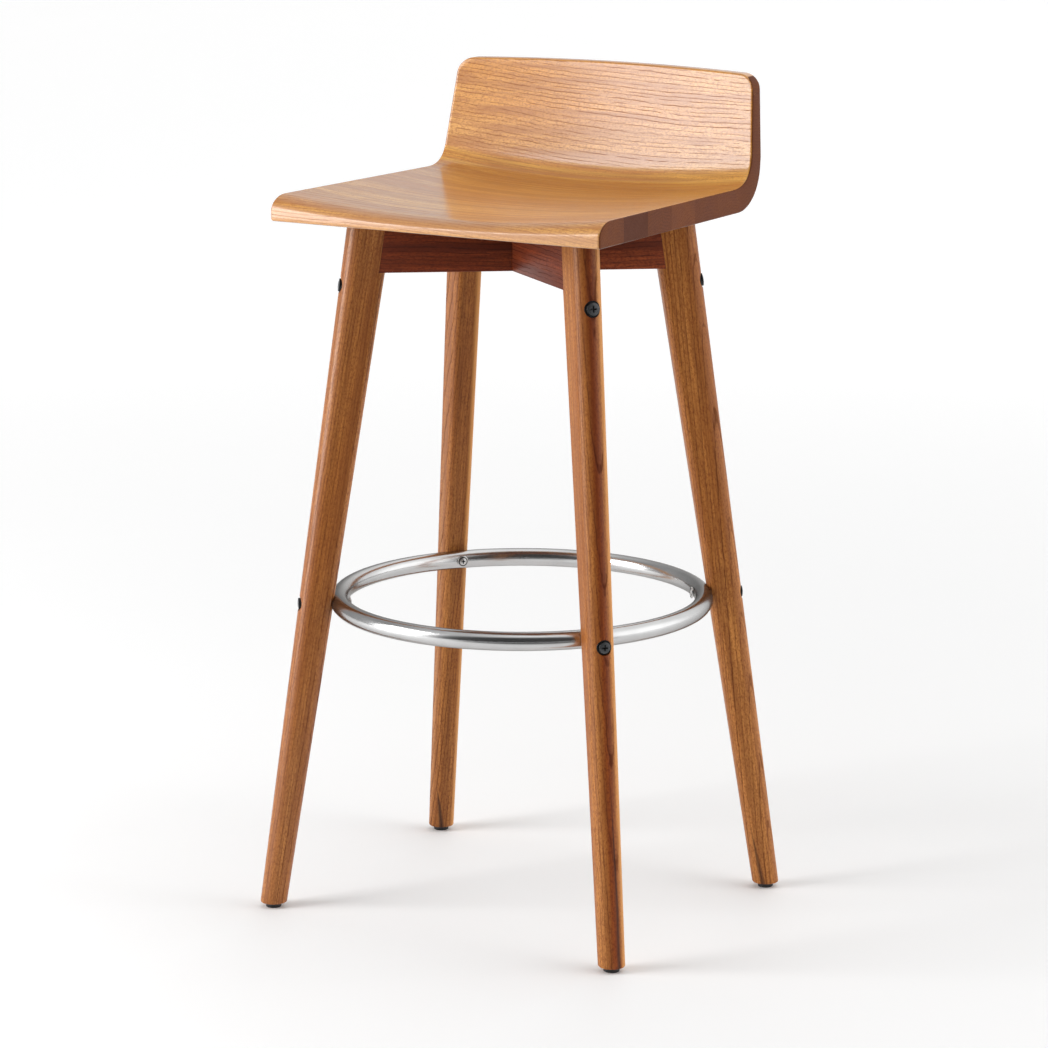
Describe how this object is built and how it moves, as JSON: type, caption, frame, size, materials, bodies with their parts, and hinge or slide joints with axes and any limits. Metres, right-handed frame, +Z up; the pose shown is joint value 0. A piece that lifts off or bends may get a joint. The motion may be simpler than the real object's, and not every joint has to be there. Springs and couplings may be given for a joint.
{
  "type": "bar stool with footrest",
  "caption": "Bar stool with a dished one-piece wooden seat and low back on crossed rails, leaning tapered legs and a round steel footrest ring.",
  "frame": {"origin": "on the floor, under the centre of the crossed rails and of the footrest ring", "axes": "+Z up, -Y towards the front edge of the seat, +X to the sitter's left when seated facing -Y"},
  "size_m": [0.4302, 0.393, 0.854],
  "materials": {
    "seat_wood": "semi-gloss clear varnish over honey-brown hardwood staves",
    "leg_wood": "semi-gloss clear varnish over mid-brown hardwood",
    "rail_wood": "satin clear varnish over dark reddish-brown hardwood",
    "ring_steel": "satin brushed stainless steel",
    "plated_steel": "bright plated steel",
    "zinc_screws": "zinc plated steel",
    "insert_brass": "plain turned brass",
    "black_screws": "black oxide coated steel, satin",
    "glide_plastic": "matt black nylon"
  },
  "bodies": {
    "root": {"footrest_ring": "ring_steel", "glide_back_left": "glide_plastic", "glide_back_right": "glide_plastic", "glide_front_left": "glide_plastic", "glide_front_right": "glide_plastic", "glide_screw_back_left": "zinc_screws", "glide_screw_back_right": "zinc_screws", "glide_screw_front_left": "zinc_screws", "glide_screw_front_right": "zinc_screws", "leg_back_left": "leg_wood", "leg_back_right": "leg_wood", "leg_bolt_back_left": "black_screws", "leg_bolt_back_right": "black_screws", "leg_bolt_front_left": "black_screws", "leg_bolt_front_right": "black_screws", "leg_front_left": "leg_wood", "leg_front_right": "leg_wood", "lower_cross_rail": "rail_wood", "ring_bolt_back_left": "black_screws", "ring_bolt_back_right": "black_screws", "ring_bolt_front_left": "black_screws", "ring_bolt_front_right": "black_screws", "ring_nut_back_left": "plated_steel", "ring_nut_back_right": "plated_steel", "ring_nut_front_left": "plated_steel", "ring_nut_front_right": "plated_steel", "seat_screw_back_left": "zinc_screws", "seat_screw_back_right": "zinc_screws", "seat_screw_front_left": "zinc_screws", "seat_screw_front_right": "zinc_screws", "seat_shell": "seat_wood", "tongue_insert_back_left": "insert_brass", "tongue_insert_back_right": "insert_brass", "tongue_insert_front_left": "insert_brass", "tongue_insert_front_right": "insert_brass", "upper_cross_rail": "rail_wood"}
  },
  "joints": []
}
